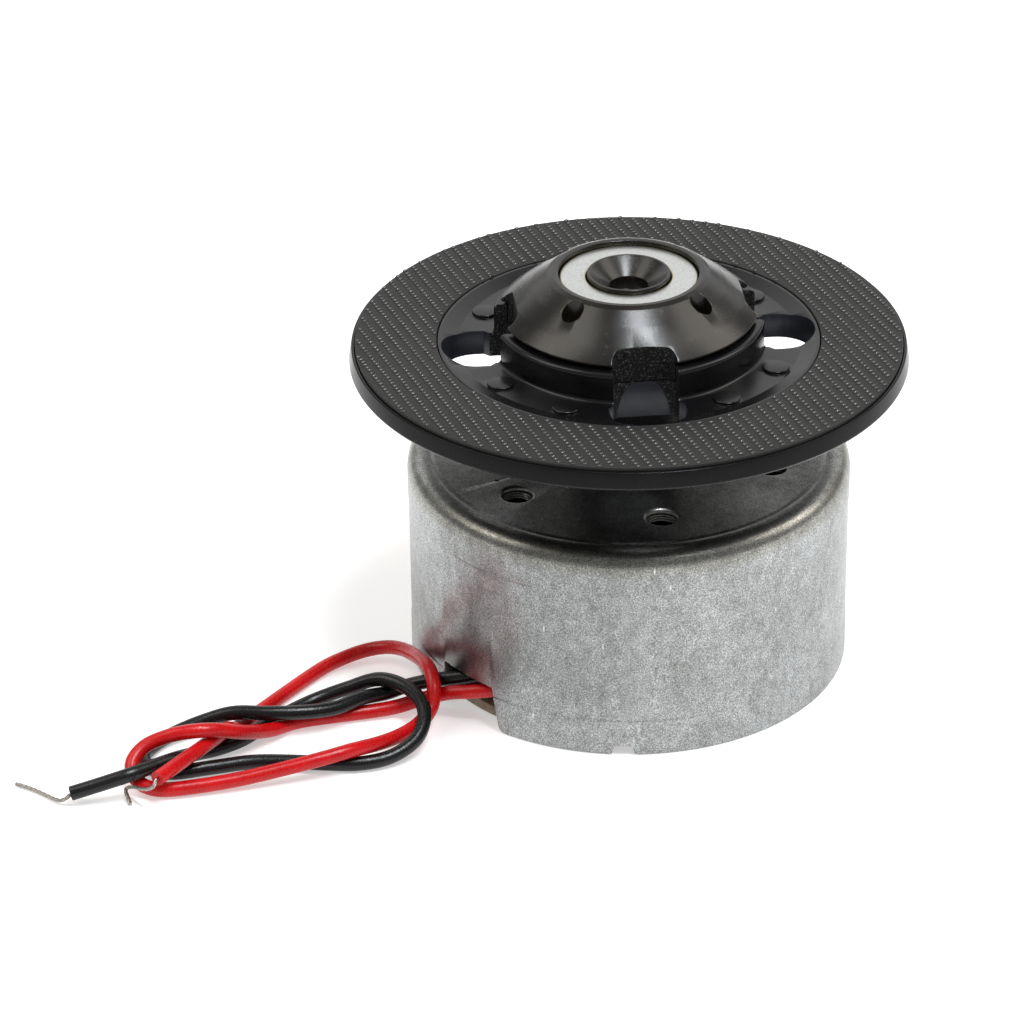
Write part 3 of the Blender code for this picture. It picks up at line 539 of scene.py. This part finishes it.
def combine(obj, cutter, operation="DIFFERENCE"):
    """Cuts or joins the cutter, then removes it. New faces keep the cutter's material."""
    boolean = obj.modifiers.new("combine", "BOOLEAN")
    boolean.operation = operation
    boolean.object = cutter
    boolean.solver = "EXACT"
    boolean.material_mode = "TRANSFER"
    applied(obj)
    bpy.data.objects.remove(cutter, do_unlink=True)


def break_edges(obj, width, angle=45):
    """A small rounding on every edge sharper than the angle."""
    shape = bmesh.new()
    shape.from_mesh(obj.data)
    bmesh.ops.remove_doubles(shape, verts=shape.verts, dist=1e-7)
    bmesh.ops.dissolve_degenerate(shape, edges=shape.edges, dist=1e-6)
    shape.to_mesh(obj.data)
    shape.free()
    bevel = obj.modifiers.new("edges", "BEVEL")
    bevel.width = width * MM
    bevel.segments = 2
    bevel.limit_method = "ANGLE"
    bevel.angle_limit = math.radians(angle)
    applied(obj)


def shade(obj, angle=32):
    obj.data.shade_smooth()
    obj.data.set_sharp_from_angle(angle=math.radians(angle))
    return obj


def settle(obj, body, slot, *nodes):
    """The finished piece rides on its body and stands for its CAD nodes. Its slot is not used."""
    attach(obj, body)
    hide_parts(*nodes)
    return obj


def around(angle, distance):
    """A plan point at this angle, in degrees, and distance from the shaft's axis."""
    return (distance * math.cos(math.radians(angle)), distance * math.sin(math.radians(angle)))


def turned_by(angle):
    """A function that turns a plan point about the shaft's axis."""
    turn = cmath.exp(1j * math.radians(angle))

    def place(x, y):
        point = complex(x, y) * turn
        return point.real, point.imag

    return place


def arc(radius, start, end, count, centre=(0.0, 0.0)):
    """Plan points on an arc, ends included. Angles are in degrees."""
    step = (end - start) / (count - 1)
    return [
        (centre[0] + x, centre[1] + y)
        for x, y in (around(start + i * step, radius) for i in range(count))
    ]


# Leads --------------------------------------------------------------------------------------------


def smooth_route(route, spacing):
    """Points a fixed distance apart on one smooth curve through the route's own points."""
    ends = [2 * route[0] - route[1], *route, 2 * route[-1] - route[-2]]
    fine = []
    for a, b, c, d in zip(ends, ends[1:], ends[2:], ends[3:]):
        for i in range(16):
            t = i / 16
            curve = (c - a) * t + (2 * a - 5 * b + 4 * c - d) * t**2 + (3 * b - a - 3 * c + d) * t**3
            fine.append(b + curve / 2)
    fine.append(route[-1])
    length = sum((b - a).length for a, b in zip(fine, fine[1:]))
    step = length / round(length / spacing)
    points = [fine[0]]
    walked = 0.0
    for a, b in zip(fine, fine[1:]):
        stretch = (b - a).length
        while walked + stretch >= step * len(points) - 1e-9 and len(points) < round(length / step):
            points.append(a.lerp(b, (step * len(points) - walked) / stretch))
        walked += stretch
    return [*points, fine[-1]], length


def tube(name, lines, radius, sides, finish):
    """A curve object with a round section along each line of points."""
    curve = bpy.data.curves.new(name, "CURVE")
    curve.dimensions = "3D"
    curve.bevel_depth = radius * MM
    curve.bevel_resolution = sides
    curve.use_fill_caps = True
    for line in lines:
        spline = curve.splines.new("POLY")
        spline.points.add(len(line) - 1)
        for point, place in zip(spline.points, line):
            point.co = (*place, 1.0)
        spline.use_smooth = True
    curve.materials.append(finish)
    obj = bpy.data.objects.new(name, curve)
    bpy.context.scene.collection.objects.link(obj)
    return obj


def filaments(route, count):
    """Lines that wind round a route like the strands of a stripped lead."""
    points, _ = smooth_route([Vector(point) * MM for point in route], 0.1 * MM)
    side = (points[1] - points[0]).cross(Vector((0, 0, 1))).normalized()
    lines = [[] for _ in range(count)]
    walked = 0.0
    for i, point in enumerate(points):
        ahead = (points[min(i + 1, len(points) - 1)] - points[max(i - 1, 0)]).normalized()
        side = (side - ahead * side.dot(ahead)).normalized()
        up = ahead.cross(side)
        if i:
            walked += (point - points[i - 1]).length
        for k, line in enumerate(lines):
            turn = math.tau * (k / count + walked / (FILAMENT_TWIST * MM))
            offset = side * math.cos(turn) + up * math.sin(turn)
            line.append(point + offset * FILAMENT_OFFSET * MM)
    return lines


def add_lead(colour, route, tip_route, finish):
    points, length = smooth_route([Vector(point) * MM for point in route], 0.25 * MM)
    lead = tube(f"{colour}_lead", [points], LEAD_DIAMETER / 2, 6, finish)
    settle(lead, "housing", f"{colour}_pvc", f"{colour}_wire")
    tip = tube(f"{colour}_tip", filaments(tip_route, 4), FILAMENT_RADIUS, 2, TINNED)
    settle(tip, "housing", "tinned_copper", f"{colour}_strand")


# Housing ------------------------------------------------------------------------------------------


def wall_prism(shape, outline, angle, inner=CAN_INNER - 1.5, outer=CAN_RADIUS + 1.5):
    """A prism through the can's wall. Its outline is across the wall and up."""
    place = turned_by(angle)
    add_prism(
        shape,
        outline,
        lambda across, up: (*place(inner, across), up),
        lambda across, up: (*place(outer, across), up),
    )


def hole_profile():
    """A cutter with a drawn-in mouth and three thread grooves, from its foot up."""
    mouth = [
        (HOLE_RADIUS + HOLE_EDGE * (1 - math.cos(a)), CAN_TOP + 0.004 - HOLE_EDGE * (1 - math.sin(a)))
        for a in (math.radians(step * 15) for step in range(7))
    ]
    grooves = []
    for z in (11.72, 11.86, 12.0):
        grooves += [(HOLE_RADIUS, z), (HOLE_RADIUS + 0.045, z + 0.05), (HOLE_RADIUS, z + 0.1)]
    top = CAN_TOP + 0.5
    return [(0, 11.2), (HOLE_RADIUS, 11.2), *grooves, *mouth, (mouth[-1][0] + 0.02, top), (0, top)]


def cutout_outline():
    """The leads' opening: one side upright, the other leaning out, both with rolled lower corners."""

    def side(lean, roll):
        foot = [
            (CUTOUT_HALF + lean + roll * (1 - math.cos(a)), roll * (1 - math.sin(a)))
            for a in (math.radians(step * 15) for step in range(7))
        ]
        top = [(CUTOUT_HALF - 0.1, CUTOUT_TOP), (CUTOUT_HALF, CUTOUT_TOP - 0.1)]
        return [*top, *foot, (foot[-1][0] + 0.05, -1.0)]

    return side(CUTOUT_LEAN, 0.6) + [(-x, z) for x, z in reversed(side(0.0, 0.35))]


def add_can():
    can = turned("can_shell", [
        (1.58, 13.9, 0.12),
        (3.3, 13.9, 0.3),
        (3.3, CAN_TOP, 0.35),
        (10.7, CAN_TOP, 0.4),
        (10.9, CAN_TOP - 0.035, 0.12),
        (11.1, CAN_TOP, 0.1),
        (CAN_RADIUS, CAN_TOP, 0.98),
        (CAN_RADIUS, 9.95, 0.15),
        (CAN_RADIUS - 0.04, 9.8, 0.15),
        (CAN_RADIUS - 0.04, 2.2, 0.15),
        (CAN_RADIUS - 0.01, 2.08, 0.15),
        (CAN_RADIUS, 0.0, 0.12),
        (CAN_INNER, 0.0, 0.12),
        (CAN_INNER, 11.7, 0.6),
        (2.55, 11.7, 0.2),
        (2.55, 13.2, 0.05),
        (1.58, 13.2, 0.1),
    ], ZINC)
    cutters = bmesh.new()
    for i in range(6):
        add_lathe(cutters, hole_profile(), 48, around(HOLE_START + 60 * i, HOLE_CIRCLE))
    dimple = [
        (0, CAN_TOP - 0.25),
        (DIMPLE_RADIUS, CAN_TOP - 0.2),
        (DIMPLE_RADIUS, CAN_TOP + 0.3),
        (0, CAN_TOP + 0.3),
    ]
    add_lathe(cutters, dimple, 24, DIMPLE_AT)
    wall_prism(cutters, cutout_outline(), CUTOUT_ANGLE)
    lean = 0.2
    notch = [
        (-RIM_NOTCH_HALF - 2 * lean, -1.0),
        (RIM_NOTCH_HALF + 2 * lean, -1.0),
        (RIM_NOTCH_HALF + 0.12, 0.0),
        (RIM_NOTCH_HALF - 0.05, 0.12),
        (RIM_NOTCH_HALF - lean, RIM_NOTCH_TOP),
        (lean - RIM_NOTCH_HALF, RIM_NOTCH_TOP),
        (0.05 - RIM_NOTCH_HALF, 0.12),
        (-RIM_NOTCH_HALF - 0.12, 0.0),
    ]
    for angle in NOTCH_ANGLES:
        wall_prism(cutters, notch, angle)
    combine(can, to_object("can_cutters", cutters, ZINC))
    break_edges(can, 0.04)
    settle(shade(can), "housing", "zinc_plate", "motor_can")


def add_end_plate():
    plate = turned("base_plate", [
        (11.4, 0.9, 0.06),
        (11.4, 0.3, 0.06),
        (2.55, 0.3, 0.05),
        (2.55, 0.9, 0.05),
    ], LAMINATE, arc_steps=3)
    settle(shade(plate), "housing", "laminate", "end_plate")
    cover = turned("pivot_cover", [
        (0.0, 0.62, 0),
        (2.5, 0.62, 0.06),
        (2.5, 0.3, 0.08),
        (0.0, 0.3, 0),
    ], NYLON, SMALL_STEPS, 3)
    settle(shade(cover), "housing", "nylon", "thrust_pad")


def add_shaft():
    shaft = turned("spindle", [
        (0.0, 21.4, 0),
        (1.0, 21.4, 0.18),
        (1.0, 0.67, 0.18),
        (0.0, 0.67, 0),
    ], STEEL, SMALL_STEPS)
    settle(shade(shaft), "rotor", "ground_steel", "shaft")


# Turntable ----------------------------------------------------------------------------------------


def notch_wall():
    """The notch's flat inner wall and its two rounded corners, from one side to the other."""
    x, y = NOTCH_WALL + NOTCH_CORNER, NOTCH_HALF - NOTCH_CORNER
    return [*arc(NOTCH_CORNER, 90, 180, 10, (x, y)), *arc(NOTCH_CORNER, 180, 270, 10, (x, -y))]


def slot_outline():
    flare = RING_OUTER + 0.05
    end = (SLOT_END - SLOT_CORNER, SLOT_HALF - SLOT_CORNER)
    return [
        *notch_wall(),
        (flare, -NOTCH_HALF),
        (flare + SLOT_HALF - NOTCH_HALF, -SLOT_HALF),
        *arc(SLOT_CORNER, -90, 0, 14, (end[0], -end[1])),
        *arc(SLOT_CORNER, 0, 90, 14, end),
        (flare + SLOT_HALF - NOTCH_HALF, SLOT_HALF),
        (flare, NOTCH_HALF),
    ]


def radial_cutters(name, outline, bottom, top, finish):
    """Four upright prisms with this plan, a quarter turn apart."""
    shape = bmesh.new()
    for i in range(4):
        place = turned_by(SLOT_ANGLE + 90 * i)
        add_prism(
            shape,
            outline,
            lambda x, y, place=place: (*place(x, y), bottom),
            lambda x, y, place=place: (*place(x, y), top),
        )
    return to_object(name, shape, finish)


def add_platter():
    platter = turned("platter", [
        (1.03, CORE_SEAT, 0),
        (RING_INNER, CORE_SEAT, 0.05),
        (RING_INNER, RING_TOP, 0.1),
        (RING_OUTER, RING_TOP, 0.24),
        (RING_OUTER, FLOOR_TOP, 0.2),
        (9.33, FLOOR_TOP, 0.3),
        (10.2, 19.14, 0.08),
        (10.37, 19.14, 0.04),
        (10.37, 18.75, 0.05),
        (14.9, 18.75, 0.05),
        (14.9, 19.0, 0.02),
        (15.05, 19.0, 0.07),
        (15.2, 18.15, 0.15),
        (15.08, 18.0, 0.03),
        (12.0, 18.0, 0.3),
        (11.0, 17.5, 0.3),
        (3.2, 17.5, 0.3),
        (3.2, 14.6, 0.15),
        (1.03, 14.6, 0.1),
    ], BLACK_PLASTIC)
    pads = bmesh.new()
    pad = rounded([
        (0.0, FLOOR_TOP - 0.4, 0),
        (PAD_RADIUS, FLOOR_TOP - 0.4, 0),
        (PAD_RADIUS, FLOOR_TOP + PAD_HEIGHT, 0.06),
        (0.0, FLOOR_TOP + PAD_HEIGHT, 0),
    ])
    for i in range(4):
        for side in (-1, 1):
            add_lathe(pads, pad, 48, around(SLOT_ANGLE + 90 * i + side * PAD_SPREAD, PAD_CIRCLE))
    combine(platter, to_object("pads", pads, BLACK_PLASTIC), "UNION")
    combine(platter, radial_cutters("slots", slot_outline(), 16.5, 21.6, NOTCH_BLACK))
    break_edges(platter, 0.05)
    settle(shade(platter), "rotor", "black_plastic", "turntable")


def bump_points(x, y, height):
    """An embossed lozenge's foot and shoulder rings and its tip, in plan and height."""
    along = cmath.exp(1j * math.radians(ROW_ANGLE + 90))
    rings = []
    for share, rise in ((1.0, -0.03), (0.55, height * 0.75)):
        ring = []
        for k in range(8):
            angle = k * math.tau / 8
            point = complex(
                BUMP_LENGTH * share * math.cos(angle), BUMP_WIDTH * share * math.sin(angle)
            ) * along + complex(x, y)
            radius = min(max(abs(point), MAT_INNER + 0.03), MAT_OUTER - 0.03)
            point *= radius / abs(point)
            ring.append((point.real, point.imag, MAT_TOP + rise))
        rings.append(ring)
    return rings, (x, y, MAT_TOP + height)


def add_mat():
    shape = bmesh.new()
    section = [
        (MAT_OUTER, MAT_TOP, 0.05),
        (MAT_OUTER, 18.8, 0.03),
        (MAT_INNER, 18.8, 0.03),
        (MAT_INNER, MAT_TOP, 0.05),
    ]
    add_lathe(shape, rounded(section, 3), ROUND_STEPS)
    draw = random.Random(5)
    row = turned_by(ROW_ANGLE)
    reach = int(MAT_OUTER / ROW_PITCH) + 2
    for across in range(-reach, reach):
        for along in range(-reach, reach):
            shift = 0.5 * (across % 2)
            x, y = row((along + shift) * ROW_PITCH, across * ROW_SPACING)
            if not MAT_INNER + 0.08 < math.hypot(x, y) < MAT_OUTER - 0.08:
                continue
            rings, tip = bump_points(x, y, BUMP_HEIGHT * draw.uniform(0.8, 1.15))
            low, high = [[shape.verts.new(Vector(point) * MM) for point in ring] for ring in rings]
            peak = shape.verts.new(Vector(tip) * MM)
            shape.faces.new(reversed(low))
            for k in range(8):
                m = (k + 1) % 8
                shape.faces.new((low[k], low[m], high[m], high[k]))
                shape.faces.new((high[k], high[m], peak))
    mat = to_object("embossed_mat", shape, MAT_RUBBER)
    settle(shade(mat, 60), "rotor", "mat_rubber", "friction_mat")


def add_cone():
    cone = turned("disc_cone", [
        (1.03, 22.25, 0.05),
        (2.1, 23.0, 0.05),
        (2.25, 23.0, 0.04),
        (2.25, 21.95, 0),
        (3.8, 21.95, 0),
        (3.8, 23.03, 0.06),
        (4.1, 23.05, 0.15),
        (4.4, 22.93, 0.25),
        (5.25, 22.33, 1.5),
        (6.2, 21.6, 1.5),
        (7.0, 20.92, 0.08),
        (6.9, 20.78, 0.05),
        (6.6, 20.78, 0.05),
        (6.6, 19.62, 0),
        (1.03, 19.62, 0),
    ], CONE_PLASTIC)
    outline = [*notch_wall(), (8.2, -NOTCH_HALF), (8.2, NOTCH_HALF)]
    combine(cone, radial_cutters("notches", outline, 18.5, 24.0, NOTCH_BLACK))
    pockets = bmesh.new()
    for i in range(4):
        pocket = [(0, POCKET_FLOOR), (POCKET_RADIUS, POCKET_FLOOR), (POCKET_RADIUS, 24.0), (0, 24.0)]
        add_lathe(pockets, pocket, 48, around(SLOT_ANGLE + 45 + 90 * i, POCKET_CIRCLE))
    combine(cone, to_object("pockets", pockets, CONE_PLASTIC))
    break_edges(cone, 0.05)
    settle(shade(cone), "rotor", "cone_plastic", "centering_cone")


def add_washer():
    washer = turned("steel_washer", [
        (3.74, 22.8, 0.1),
        (3.74, 22.0, 0.08),
        (2.31, 22.0, 0.08),
        (2.31, 22.8, 0.08),
    ], WASHER_ZINC, arc_steps=4)
    settle(shade(washer), "rotor", "washer_zinc", "chuck_washer")


# Scene --------------------------------------------------------------------------------------------


def add_camera():
    data = bpy.data.cameras.new("camera")
    data.sensor_width = 36.0
    data.lens = LENS
    data.clip_start, data.clip_end = 0.01, 10.0
    camera = bpy.data.objects.new("camera", data)
    bpy.context.scene.collection.objects.link(camera)
    camera.matrix_world = (
        Matrix.Translation(Vector(CAMERA_AT) * MM)
        @ Matrix.Rotation(math.radians(90 - CAMERA_DOWN), 4, "X")
        @ Matrix.Rotation(math.radians(CAMERA_ROLL), 4, "Z")
    )
    bpy.context.scene.camera = camera


def add_softbox(name, at, size, power, aim=(0.0, 0.0, 0.012), colour=(1.0, 1.0, 1.0)):
    data = bpy.data.lights.new(name, "AREA")
    data.shape = "RECTANGLE"
    data.size, data.size_y = size
    data.energy = power
    data.color = colour
    light = bpy.data.objects.new(name, data)
    bpy.context.scene.collection.objects.link(light)
    light.location = at
    light.rotation_euler = (Vector(aim) - Vector(at)).to_track_quat("-Z", "Y").to_euler()


def add_studio():
    world = bpy.data.worlds.new("studio")
    bpy.context.scene.world = world
    world.use_nodes = True
    world.node_tree.nodes["Background"].inputs["Color"].default_value = (1.0, 1.0, 1.0, 1.0)
    world.node_tree.nodes["Background"].inputs["Strength"].default_value = 0.35
    shape = bmesh.new()
    bmesh.ops.create_grid(shape, x_segments=1, y_segments=1, size=3.0)
    paint = Paint("floor_paper", Roughness=0.9)
    paper = paint.ramp(paint.noise(40.0), (0.3, 0.7), (0.7, 0.72))
    paint.set(Base_Color=paper, Emission_Color=paper, Emission_Strength=0.62)
    floor = to_object("floor", shape, paint.material)
    add_softbox("key", (0.092, -0.122, 0.49), (0.08, 0.26), 2.3, (0.0, 0.0, 0.02), (0.93, 0.97, 1.0))
    add_softbox("left", (-0.315, 0.0, 0.41), (0.25, 0.35), 0.9, (0.0, 0.0, 0.02), (1.0, 0.95, 0.87))
    add_softbox("right", (0.355, 0.08, 0.36), (0.25, 0.35), 0.9, (0.0, 0.0, 0.02), (1.0, 0.95, 0.87))
    add_softbox("back", (0.0, 0.87, 0.5), (1.6, 0.6), 2.5)
    bpy.context.scene.view_settings.view_transform = "Standard"


def finish_cad_nodes():
    """The pieces inside the can keep their CAD mesh and get their slot's material."""
    for part in frame["record"]["subparts"]:
        finish = CAD_FINISHES.get(part["material_slot"])
        if finish:
            mesh = frame["nodes"][part["node"]].data
            mesh.materials.clear()
            mesh.materials.append(finish)


add_camera()
add_lead("red", RED_ROUTE, RED_STRAND_ROUTE, RED_PVC)
add_lead("black", BLACK_ROUTE, BLACK_STRAND_ROUTE, BLACK_PVC)
add_can()
add_end_plate()
add_shaft()
add_platter()
add_mat()
add_cone()
add_washer()
finish_cad_nodes()
add_studio()
